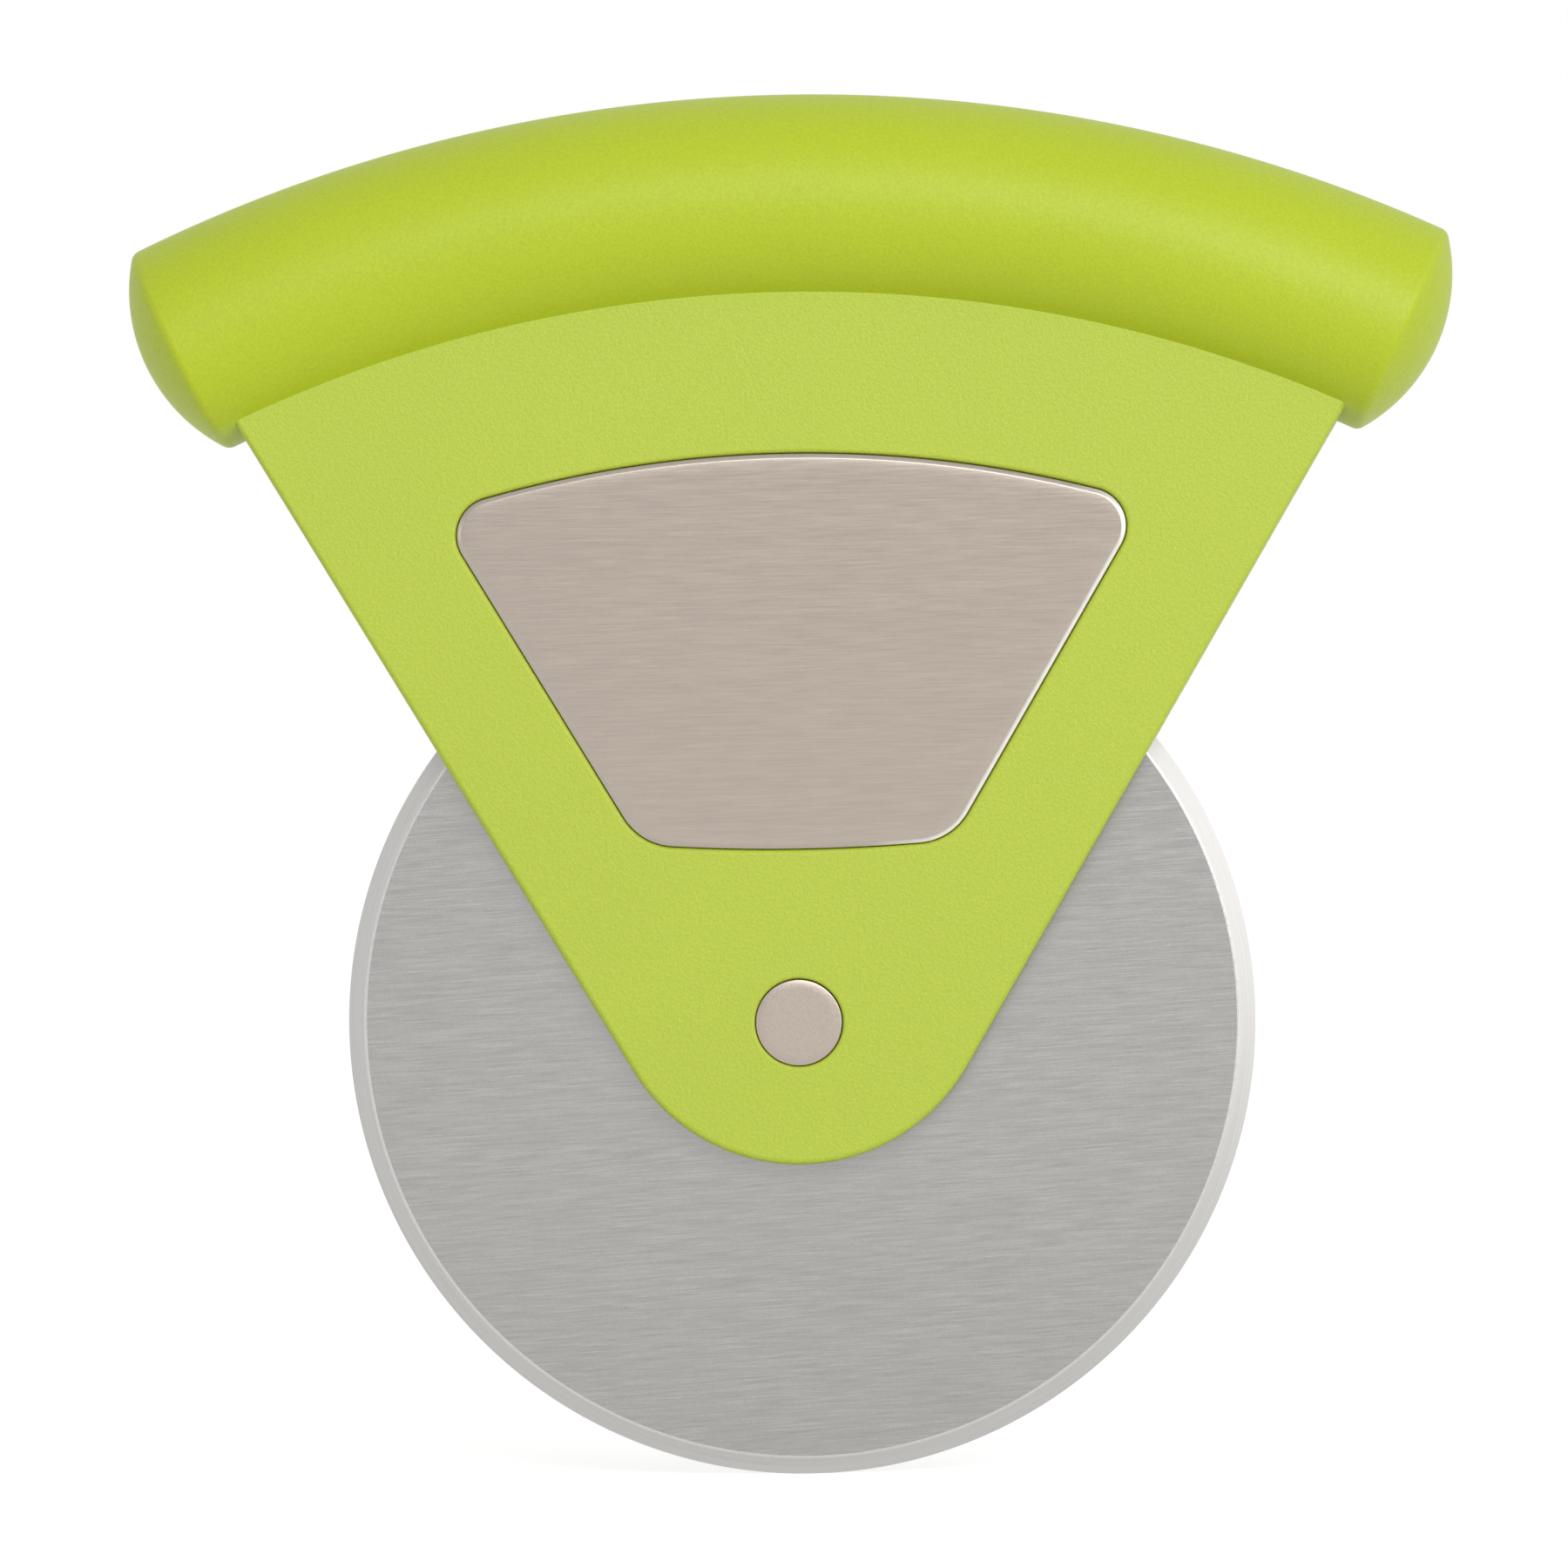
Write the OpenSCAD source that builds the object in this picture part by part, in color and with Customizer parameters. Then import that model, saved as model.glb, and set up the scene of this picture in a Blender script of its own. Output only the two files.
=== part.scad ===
// Rolling pizza cutter with a slice-shaped handle and a curved palm grip.
// The cutter stands on its wheel, grip up. X runs along the grip, -Y faces the front, and the
// origin is under the middle of the wheel, at its lowest point.
//
// Each shell is drawn flat: x is sideways, y is the height above the axle, and z is the depth
// outward from the parting plane. upright() and rearward() then stand it up.

/* [Cutting wheel] */
// Diameter over the cutting edge
wheel_d = 75; // [70:0.5:79]
// Thickness of the wheel's sheet
wheel_t = 1.2; // [0.8:0.1:1.6]
// Width of the ground bevel on each face
bevel_w = 1.4; // [0.8:0.1:3]
// Thickness left at the cutting edge
edge_t = 0.15; // [0.05:0.05:0.4]

/* [Slice of the handle] */
// Angle of each side of the slice from the upright
slice_half_angle = 30.7; // [28:0.1:33]
// Radius of the rounded nose
nose_r = 15.9; // [14.5:0.1:18]
// Height of the nose's centre above the axle
nose_rise = 4.2; // [3:0.1:6]
// Thickness of the slice over both shells
slice_t = 10.2; // [9.6:0.1:12]
// Rounding of the slice's outer edges
slice_edge_r = 0.5; // [0.2:0.1:1]
// Thickness of the slice's face wall
face_wall = 2; // [1.7:0.1:2.2]
// Width of the rim that runs round the slice's sides and nose
rim_w = 2.2; // [1.6:0.1:3]
// Thickness of the stiffening ribs
rib_t = 1.4; // [1:0.1:2]
// Angle of the outer radial ribs about the axle, from the upright
rib_angle = 22; // [18:0.5:24]

/* [Wheel pocket] */
// Gap between each face of the wheel and the slice
cheek_gap = 0.3; // [0.2:0.05:0.5]
// Gap between the cutting edge and the pocket's wall
pocket_gap = 1.5; // [0.8:0.1:2.5]

/* [Grip] */
// Depth of the grip's arc centre below the axle
arc_drop = 50.5; // [46:0.5:55]
// Radius of the arc that the grip's middle follows
grip_path_r = 118; // [114:0.5:122]
// Diameter of the grip
grip_d = 18; // [16:0.5:20]
// Length of the grip's tube beyond each of the slice's upper corners
grip_overhang = 1.3; // [1:0.1:4]
// Radius of the domed ends
dome_r = 14.5; // [12:0.5:20]
// Rounding between the tube and its domed end
end_round_r = 1; // [0.4:0.1:2]
// Wall of the grip
grip_wall = 2.4; // [1.8:0.1:3]
// Length of the solid stretch at each end of the grip's hollow
grip_end_wall = 2; // [1:0.5:4]
// Angle between neighbouring cross ribs in the grip
grip_rib_step = 6; // [5:0.5:7]
// Number of cross ribs on each side of the middle
grip_rib_pairs = 4; // [2:1:4]

/* [Inset plates] */
// Width of plastic between the slice's side and the plate
plate_margin = 10.3; // [9:0.1:12]
// Distance from the grip's middle arc down to the plate's upper edge
plate_top_drop = 20.7; // [19:0.1:22]
// Height of the plate's lower edge above the axle
plate_bottom = 14.3; // [12:0.1:17]
// Radius of the plate's slightly bowed lower edge
plate_bottom_r = 150; // [100:5:300]
// Upper corner radius
plate_top_corner_r = 3.1; // [2:0.1:4]
// Lower corner radius
plate_bottom_corner_r = 5; // [3:0.1:5.5]
// Thickness of the plate's sheet
plate_t = 0.5; // [0.4:0.05:0.6]
// Outside radius of the turned-down rim
plate_rim_r = 0.7; // [0.65:0.05:0.85]
// Depth of the pressed plate over its rim
plate_depth = 0.9; // [0.85:0.05:1]
// How far the plate stands proud of the slice
plate_proud = 0.1; // [0:0.05:0.3]
// Gap round the plate
plate_gap = 0.12; // [0.08:0.02:0.3]
// Gap between the adhesive pad and the plate's rim
pad_gap = 0.3; // [0.1:0.1:1]

/* [Axle] */
// Outside diameter of the sleeve that the wheel turns on
sleeve_d = 6; // [5.4:0.1:6.4]
// Running clearance between bush and sleeve, on the radius
running_gap = 0.05; // [0.02:0.01:0.1]
// Wall of the wheel's bush
bush_wall = 1.5; // [1:0.1:2]
// How far the bush stands proud of each face of the wheel
bush_proud = 0.4; // [0.35:0.05:0.5]
// Chamfer on the bush's outer corners
bush_chamfer = 0.15; // [0.05:0.05:0.3]
// Diameter of the thrust washers
washer_d = 11; // [10:0.1:12]
// Thickness of the thrust washers
washer_t = 0.3; // [0.2:0.05:0.4]
// End play between each washer and the bush
end_play = 0.05; // [0.02:0.01:0.1]
// Depth that each end of the sleeve sits in its shell
sleeve_seat = 1.05; // [0.8:0.05:1.2]
// Diameter of the rivet heads
rivet_head_d = 7.1; // [6.5:0.1:8]
// Thickness of the rivet heads
rivet_head_t = 1.2; // [1:0.1:1.3]
// Rounding of the rivet heads' outer corner
rivet_round_r = 0.25; // [0.1:0.05:0.5]
// Diameter of the rivet's tubular shank
rivet_d = 4; // [3.6:0.1:4.2]
// Diameter of the pin pressed into that shank
rivet_core_d = 2.6; // [2:0.1:2.8]
// Gap round the rivet heads
head_gap = 0.1; // [0.05:0.05:0.2]
// Width of the shells' boss outside the washer
boss_wall = 1.6; // [1:0.1:2.5]

/* [Shell fixings] */
// Diameter of the screws that close the shells
screw_d = 2.2; // [2:0.1:2.6]
// Length of the screws under the head
screw_l = 6; // [5:0.5:6.5]
// Diameter of the screw heads
screw_head_d = 4.2; // [3.8:0.1:4.6]
// Thickness of the screw heads
screw_head_t = 1.4; // [1.2:0.1:1.6]
// Width across the screws' cross recess
screw_recess_w = 2.2; // [1.6:0.1:2.6]
// Wall of the plastic round each screw
screw_boss_wall = 1.5; // [1:0.1:1.8]
// Diameter of the locating pegs
peg_d = 3; // [2:0.1:4]
// Length of the locating pegs
peg_l = 2.5; // [1.5:0.1:3.5]
// Wall of the plastic round each peg's hole
peg_boss_wall = 1.4; // [1:0.1:2]
// Angle about the arc centre between the middle peg and the outer ones
peg_angle = 18; // [17:0.5:19]
// Clearance of pieces that are put together by hand, on the radius
fit_gap = 0.05; // [0.02:0.01:0.1]
// Clearance left in the model between pressed pieces, on the radius
press_gap = 0.01; // [0:0.01:0.02]

/* [Hidden] */
$fn = 96;

green = [0.74, 0.81, 0.30];
plate_steel = [0.72, 0.68, 0.63];
wheel_steel = [0.68, 0.67, 0.66];
foam_white = [0.92, 0.92, 0.90];
nylon = [0.94, 0.93, 0.88];
brass = [0.80, 0.66, 0.35];

wheel_r = wheel_d / 2;
slice_h = slice_t / 2;
grip_r = grip_d / 2;
// Cuts reach past the faces that they open by this much
cut_past = 1;
// Shapes that run smoothly into each other are set off by this much, so that they meet in a clean edge
tangent_lap = 0.005;

// Depths of the axle's parts, outward from the middle of the wheel
slot_h = wheel_t / 2 + cheek_gap;
bush_h = wheel_t / 2 + bush_proud;
washer_h = bush_h + end_play;
boss_h = washer_h + washer_t;
sleeve_h = boss_h + sleeve_seat;
head_floor_h = slice_h - rivet_head_t;
core_h = slice_h - face_wall;

// Radii about the axle
pocket_r = wheel_r + pocket_gap;
pocket_wall_r = pocket_r + rib_t;
bush_r = sleeve_d / 2 + running_gap + bush_wall;
boss_r = washer_d / 2 + boss_wall;

// The recess that each plate drops into
recess_depth = plate_depth - plate_proud;
recess_h = slice_h - recess_depth;

// Steps along half of each of the plate's bowed edges, round its corners and over its rim
bow_steps = 8;
corner_steps = 7;
rim_steps = 4;

// Screws stand just outside the wheel's pocket, on the outer ribs, with their heads under the plate
screw_boss_r = screw_head_d / 2 + screw_boss_wall;
screw_place_r = pocket_wall_r + screw_boss_r;
screw_seat_h = recess_h - screw_head_t - fit_gap;
screw_hole_depth = screw_l - screw_seat_h + 2 * fit_gap;
// Width of each arm of the screws' cross recess
recess_arm = 0.6;

// The domed end: its rounding is centred on the tube's end plane
round_path_r = grip_r - tangent_lap - end_round_r;
dome_centre = -sqrt(pow(dome_r - end_round_r, 2) - pow(round_path_r, 2));
dome_reach = asin(round_path_r / (dome_r - end_round_r));

// Unit vectors square to the slice's right side and along it
side_out = [cos(slice_half_angle), -sin(slice_half_angle)];
side_up = [sin(slice_half_angle), cos(slice_half_angle)];

// A point at inset m from the slice's side lies this far from the nose's centre, across the side
function across(m) = nose_r - m;

// Angle about the grip's arc centre at which a line at inset m from the side crosses radius r
function side_angle(m, r) =
    slice_half_angle + asin((across(m) - (arc_drop + nose_rise) * sin(slice_half_angle)) / r);

// The slice's face meets the grip along this radius, and the tube reaches past the corners there
crease_r = grip_path_r - sqrt(pow(grip_r, 2) - pow(slice_h, 2));
grip_half_angle = side_angle(0, crease_r) + grip_overhang / grip_path_r * 180 / PI;

// Plate outline: corner centres at which the side and the upper or lower arc are both tangent
plate_top_r = grip_path_r - plate_top_drop;
plate_low_y = plate_bottom + plate_bottom_r;
upper_path_r = plate_top_r - plate_top_corner_r;
lower_path_r = plate_bottom_r - plate_bottom_corner_r;
upper_angle = side_angle(plate_margin + plate_top_corner_r, upper_path_r);
lower_angle = asin(
    (across(plate_margin + plate_bottom_corner_r) + (plate_low_y - nose_rise) * sin(slice_half_angle))
    / lower_path_r) - slice_half_angle;
upper_corner = [upper_path_r * sin(upper_angle), upper_path_r * cos(upper_angle) - arc_drop];
lower_corner = [lower_path_r * sin(lower_angle), plate_low_y - lower_path_r * cos(lower_angle)];
upper_out = [sin(upper_angle), cos(upper_angle)];
lower_out = [sin(lower_angle), -cos(lower_angle)];

// Placing
module upright() { translate([0, 0, wheel_r]) rotate([90, 0, 0]) children(); }

module rearward() { mirror([0, 1, 0]) upright() children(); }

module both_sides() { for (side = [0, 1]) mirror([side, 0, 0]) children(); }

module at_grip_angle(angle) {
    translate([0, -arc_drop, 0]) rotate([0, 0, -angle]) translate([0, grip_path_r, 0]) children();
}

module at_screws() { both_sides() rotate([0, 0, -rib_angle]) translate([0, screw_place_r, 0]) children(); }

module at_pegs() { for (turn = [-1, 0, 1]) at_grip_angle(turn * peg_angle) children(); }

// A bar section whose upper outer corner is rounded
module rounded_section(w, h, r) {
    square([w - r, h]);
    square([w, h - r]);
    translate([w - r, h - r]) circle(r);
}

// The slice's outline, drawn in by an even inset
module slice_plan(inset) {
    translate([0, nose_rise]) {
        circle(across(inset));
        fan_plan(across(inset), grip_path_r + arc_drop);
    }
}

// The fan between two lines that lie at one distance from the nose's centre, square to the sides
module fan_plan(distance, reach) {
    foot = side_out * distance;
    head = foot + side_up * reach;
    polygon([[-foot.x, foot.y], foot, head, [-head.x, head.y]]);
}

// All that lies inside the slice's right side, whose outer edge is rounded
module side_slab(reach) {
    rotate([90, 0, -slice_half_angle]) translate([0, 0, -reach]) linear_extrude(2 * reach) {
        translate([-2 * reach, 0]) square([2 * reach + nose_r / 2, slice_h]);
        rounded_section(nose_r, slice_h, slice_edge_r);
    }
}

// The slice: the fan that lies inside both sides, ending in a rounded nose
module slice_body() {
    reach = grip_path_r + arc_drop;
    foot = side_out * reach;
    intersection() {
        translate([0, -arc_drop, 0]) cylinder(r = grip_path_r, h = slice_h);
        translate([0, nose_rise, 0]) union() {
            rotate_extrude() rounded_section(nose_r, slice_h, slice_edge_r);
            difference() {
                intersection() {
                    side_slab(reach);
                    mirror([1, 0, 0]) side_slab(reach);
                }
                translate([0, 0, -cut_past]) linear_extrude(slice_h + 2 * cut_past)
                    polygon([[0, 0], foot, [0, -2 * reach], [-foot.x, foot.y]]);
            }
        }
    }
}

// A tube bent along the grip's arc
module grip_arc(r, half_angle) {
    translate([0, -arc_drop, 0]) rotate([0, 0, 90 - half_angle])
        rotate_extrude(angle = 2 * half_angle) translate([grip_path_r, 0]) circle(r);
}

// Section of a domed end, whose foot lies inside the tube
module dome_profile() {
    dome_side = 2 * dome_r;
    translate([round_path_r, 0]) circle(end_round_r);
    translate([0, dome_centre]) intersection() {
        circle(dome_r);
        polygon([[0, 0], dome_side * [sin(dome_reach), cos(dome_reach)], [0, dome_side]]);
    }
}

// The whole grip, which each shell takes half of
module grip_body() {
    grip_arc(grip_r, grip_half_angle);
    both_sides() at_grip_angle(grip_half_angle) rotate([90, 0, 90]) rotate_extrude() dome_profile();
}

// The hollow of the grip, crossed by ribs and peg bosses
module grip_hollow() {
    hollow_r = grip_r - grip_wall;
    difference() {
        grip_arc(hollow_r, grip_half_angle - grip_end_wall / grip_path_r * 180 / PI);
        for (rib = [1 : grip_rib_pairs], turn = [-1, 1])
            at_grip_angle(turn * (rib - 0.5) * grip_rib_step)
                cube([rib_t, grip_d, grip_d], center = true);
        at_pegs() cylinder(r = peg_d / 2 + fit_gap + peg_boss_wall, h = grip_d, center = true);
    }
}

// Ribs, bosses and the wheel pocket's wall, in plan
module rib_plan() {
    circle(boss_r);
    difference() {
        circle(pocket_wall_r);
        circle(pocket_r);
    }
    for (turn = [-1, 0, 1])
        rotate(turn * rib_angle) translate([-rib_t / 2, 0]) square([rib_t, grip_path_r]);
    at_screws() circle(screw_boss_r);
}

// The hollow of the slice behind its face wall
module slice_hollow() {
    translate([0, 0, -cut_past]) linear_extrude(core_h + cut_past) difference() {
        intersection() {
            slice_plan(rim_w);
            translate([0, -arc_drop]) circle(grip_path_r - grip_r);
        }
        rib_plan();
    }
}

// The plate's outline, grown outward by an even amount
module plate_plan(grow) {
    difference() {
        intersection() {
            translate([0, -arc_drop]) circle(plate_top_r + grow);
            translate([0, plate_low_y]) circle(plate_bottom_r + grow);
            translate([0, nose_rise]) fan_plan(across(plate_margin - grow), grip_path_r);
        }
        both_sides() {
            corner_trim(upper_corner, plate_top_corner_r + grow, side_out, upper_out);
            corner_trim(lower_corner, plate_bottom_corner_r + grow, side_out, lower_out);
        }
    }
}

// What lies outside a corner's rounding, between the two edges that it joins
module corner_trim(centre, r, out_a, out_b) {
    reach = 2 * r;
    difference() {
        polygon([centre, centre + out_a * reach, centre + (out_a + out_b) * reach, centre + out_b * reach]);
        translate(centre) circle(r + tangent_lap);
    }
}

// One half shell without its fixings
module shell_blank() {
    difference() {
        union() {
            slice_body();
            grip_body();
        }
        // The other shell's half
        translate([0, 0, -grip_d]) linear_extrude(grip_d) square(2 * grip_path_r, center = true);
        slice_hollow();
        grip_hollow();
        // Slot for the wheel, open at the nose and the sides
        translate([0, 0, -cut_past]) cylinder(r = pocket_r, h = slot_h + cut_past);
        // Seats of the washer, the sleeve, the rivet's shank and its head
        translate([0, 0, -cut_past]) cylinder(r = washer_d / 2 + fit_gap, h = boss_h + cut_past);
        cylinder(r = sleeve_d / 2 + fit_gap, h = sleeve_h);
        cylinder(r = rivet_d / 2 + fit_gap, h = slice_h);
        translate([0, 0, head_floor_h])
            cylinder(r = rivet_head_d / 2 + head_gap, h = rivet_head_t + cut_past);
        // Recess of the inset plate
        translate([0, 0, recess_h]) linear_extrude(recess_depth + cut_past) plate_plan(plate_gap);
    }
}

module front_shell() {
    color(green) upright() {
        difference() {
            shell_blank();
            at_screws() translate([0, 0, -cut_past])
                cylinder(r = screw_d / 2 + press_gap, h = cut_past + screw_hole_depth);
        }
        at_pegs() translate([0, 0, -peg_l]) cylinder(r = peg_d / 2, h = peg_l + grip_wall);
    }
}

module rear_shell() {
    color(green) rearward() difference() {
        shell_blank();
        at_screws() {
            translate([0, 0, -cut_past]) cylinder(r = screw_d / 2 + fit_gap, h = slice_h + cut_past);
            translate([0, 0, screw_seat_h]) cylinder(r = screw_head_d / 2 + fit_gap, h = slice_h);
        }
        at_pegs() translate([0, 0, -cut_past])
            cylinder(r = peg_d / 2 + fit_gap, h = cut_past + peg_l + fit_gap);
    }
}

// Points along an arc, both ends included
function arc(centre, r, from, to, steps) = [
    for (i = [0 : steps]) let (a = from + (to - from) * i / steps) centre + r * [cos(a), sin(a)]
];

function after_first(list) = [for (i = [1 : len(list) - 1]) list[i]];

// The right half of the plate's outline, from the middle of its lower edge up to that of its upper edge
function plate_half(grow) = let (low = lower_angle - 90, side = -slice_half_angle, high = 90 - upper_angle)
    concat(
        arc([0, plate_low_y], plate_bottom_r + grow, -90, low, bow_steps),
        after_first(arc(lower_corner, plate_bottom_corner_r + grow, low, side, corner_steps)),
        arc(upper_corner, plate_top_corner_r + grow, side, high, corner_steps),
        after_first(arc([0, -arc_drop], plate_top_r + grow, high, 90, bow_steps)));

function plate_ring(grow, z) = let (half = plate_half(grow), n = len(half)) concat(
    [for (p = half) [p.x, p.y, z]],
    [for (i = [n - 2 : -1 : 1]) [-half[i].x, half[i].y, z]]);

// A slab with the plate's outline whose upper edge is rounded over, skinned from ring to ring
module rounded_slab() {
    turn = plate_depth - plate_rim_r;
    section = concat([[0, 0]], arc([-plate_rim_r, turn], plate_rim_r, 0, 90, rim_steps));
    rings = [for (p = section) plate_ring(p.x, p.y)];
    n = len(rings[0]);
    last = len(rings) - 1;
    walls = [
        for (k = [0 : last - 1], i = [0 : n - 1]) let (j = (i + 1) % n)
            [k * n + i, (k + 1) * n + i, (k + 1) * n + j, k * n + j]
    ];
    upper_face = [for (i = [n - 1 : -1 : 0]) last * n + i];
    lower_face = [for (i = [0 : n - 1]) i];
    polyhedron([for (ring = rings) each ring], concat(walls, [upper_face, lower_face]));
}

// A sheet pressed into a shallow tray, its rim turned down
module pressed_plate() {
    translate([0, 0, recess_h]) difference() {
        rounded_slab();
        translate([0, 0, -cut_past]) linear_extrude(cut_past + plate_depth - plate_t) plate_plan(-plate_t);
    }
}

module plate_pad() {
    translate([0, 0, recess_h]) linear_extrude(plate_depth - plate_t) plate_plan(-plate_rim_r - pad_gap);
}

module front_plate() { color(plate_steel) upright() pressed_plate(); }

module rear_plate() { color(plate_steel) rearward() pressed_plate(); }

module front_plate_pad() { color(foam_white) upright() plate_pad(); }

module rear_plate_pad() { color(foam_white) rearward() plate_pad(); }

module cutting_wheel() {
    bore_r = bush_r + press_gap;
    color(wheel_steel) upright() rotate_extrude() polygon([
        [bore_r, -wheel_t / 2], [wheel_r - bevel_w, -wheel_t / 2], [wheel_r, -edge_t / 2],
        [wheel_r, edge_t / 2], [wheel_r - bevel_w, wheel_t / 2], [bore_r, wheel_t / 2]
    ]);
}

module wheel_bush() {
    bore_r = sleeve_d / 2 + running_gap;
    color(brass) upright() rotate_extrude() polygon([
        [bore_r, -bush_h], [bush_r - bush_chamfer, -bush_h], [bush_r, bush_chamfer - bush_h],
        [bush_r, bush_h - bush_chamfer], [bush_r - bush_chamfer, bush_h], [bore_r, bush_h]
    ]);
}

module axle_sleeve() {
    color(wheel_steel) upright() difference() {
        cylinder(d = sleeve_d, h = 2 * sleeve_h, center = true);
        cylinder(r = rivet_d / 2 + fit_gap, h = 2 * slice_h, center = true);
    }
}

module thrust_washer() {
    translate([0, 0, washer_h]) difference() {
        cylinder(d = washer_d, h = washer_t);
        translate([0, 0, -cut_past]) cylinder(r = sleeve_d / 2 + fit_gap, h = washer_t + 2 * cut_past);
    }
}

module front_washer() { color(nylon) upright() thrust_washer(); }

module rear_washer() { color(nylon) rearward() thrust_washer(); }

module rivet_head() {
    translate([0, 0, head_floor_h])
        rotate_extrude() rounded_section(rivet_head_d / 2, rivet_head_t, rivet_round_r);
}

module rivet_pin() {
    color(plate_steel) upright() {
        rivet_head();
        translate([0, 0, -head_floor_h]) cylinder(d = rivet_core_d, h = 2 * head_floor_h);
    }
}

module rivet_socket() {
    color(plate_steel) rearward() difference() {
        union() {
            rivet_head();
            translate([0, 0, fit_gap - head_floor_h])
                cylinder(d = rivet_d, h = 2 * head_floor_h - fit_gap);
        }
        translate([0, 0, -slice_h])
            cylinder(r = rivet_core_d / 2 + press_gap, h = slice_h + head_floor_h + fit_gap);
    }
}

module shell_screws() {
    color(wheel_steel) rearward() at_screws() translate([0, 0, screw_seat_h]) {
        translate([0, 0, -screw_l]) cylinder(d = screw_d, h = screw_l);
        difference() {
            cylinder(d = screw_head_d, h = screw_head_t);
            for (turn = [0, 90]) rotate([0, 0, turn]) translate([0, 0, screw_head_t])
                cube([screw_recess_w, recess_arm, screw_head_t], center = true);
        }
    }
}

front_shell();
rear_shell();
front_plate();
rear_plate();
front_plate_pad();
rear_plate_pad();
cutting_wheel();
wheel_bush();
axle_sleeve();
front_washer();
rear_washer();
rivet_pin();
rivet_socket();
shell_screws();
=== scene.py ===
"""Rolling pizza cutter with a slice-shaped handle and a curved palm grip.

The pieces are modelled around the packed frame, in its place and size. X runs along the grip, -Y
faces the front and +Z is up; the wheel stands on the floor with its axle along Y.
"""

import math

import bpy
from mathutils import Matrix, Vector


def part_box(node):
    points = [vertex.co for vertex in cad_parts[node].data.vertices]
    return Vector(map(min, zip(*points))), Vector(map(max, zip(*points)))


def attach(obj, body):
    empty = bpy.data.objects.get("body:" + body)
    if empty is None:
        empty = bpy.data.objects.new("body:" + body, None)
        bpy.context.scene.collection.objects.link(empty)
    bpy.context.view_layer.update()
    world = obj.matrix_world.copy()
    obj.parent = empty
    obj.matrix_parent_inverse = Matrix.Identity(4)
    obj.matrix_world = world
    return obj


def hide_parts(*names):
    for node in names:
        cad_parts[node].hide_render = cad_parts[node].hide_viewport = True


bl_info = {
    "name": "Rolling Pizza Cutter",
    "version": (1, 0, 0),
    "blender": (4, 5, 0),
    "location": "3D View > Sidebar > Pizza Cutter",
    "description": "Models the shells, plates, wheel and rivet of a rolling pizza cutter",
    "category": "Add Mesh",
}

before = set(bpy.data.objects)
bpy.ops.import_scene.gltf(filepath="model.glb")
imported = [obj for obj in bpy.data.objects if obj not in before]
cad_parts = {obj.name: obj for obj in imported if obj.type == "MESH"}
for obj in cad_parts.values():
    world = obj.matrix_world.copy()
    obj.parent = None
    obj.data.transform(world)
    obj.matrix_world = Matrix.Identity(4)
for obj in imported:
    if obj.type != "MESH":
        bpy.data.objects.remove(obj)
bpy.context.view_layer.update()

MM = 0.001
WHEEL_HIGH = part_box("cutting_wheel")[1]
PLATE_LOW, PLATE_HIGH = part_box("front_plate")
RIVET_LOW, RIVET_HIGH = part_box("rivet_pin")

# The axle's height is half of the wheel's diameter, because the wheel stands on the floor
WHEEL_R = WHEEL_HIGH.x
AXLE_Z = WHEEL_R

# How far a point may lie off a round wall and still count as being on it
WALL_SLACK = 0.1 * MM

# Points closer than this are merged where an outline or a tube closes
MERGE_GAP = 0.002 * MM

# Share of a face's normal along Y above which the face counts as facing the front or the rear
FACING = 0.9

# Tilt of the plates' rim at the ends of its zones, from its outer edge to the flat, in degrees
RIM_TILTS = (65, 34, 20, 3, 0)

# Faces of a plate that tilt by more than this belong to its rim and not to its brushed flat
RIM_LEAST_TILT = math.radians(8)

# Height that the softboxes aim at, about the middle of the object
AIM_Z = 1.6 * AXLE_Z

# Each softbox: name, direction from the object, distance, width, height and brightness
SOFTBOXES = (
    ("upper_softbox", (0.22, -0.90, 0.37), 1.2, 0.80, 0.40, 5.0),
    ("key_softbox", (0.80, -0.60, 0.10), 1.1, 0.45, 0.60, 3.8),
    ("fill_softbox", (-0.80, -0.60, 0.04), 1.1, 0.35, 0.50, 0.9),
)


def length(name, description, default, low=0.0):
    """A size property, in metres, that the panel shows as a length."""
    return bpy.props.FloatProperty(
        name=name, description=description, default=default, min=low, precision=5,
        subtype="DISTANCE", unit="LENGTH")


def angle(name, description, degrees):
    """An angle property, given in degrees and kept in radians."""
    return bpy.props.FloatProperty(
        name=name, description=description, default=math.radians(degrees),
        subtype="ANGLE", unit="ROTATION")


def colour(name, description, default):
    """A colour property, in linear values."""
    return bpy.props.FloatVectorProperty(
        name=name, description=description, default=default, min=0.0, max=1.0, size=3,
        subtype="COLOR")


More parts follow.
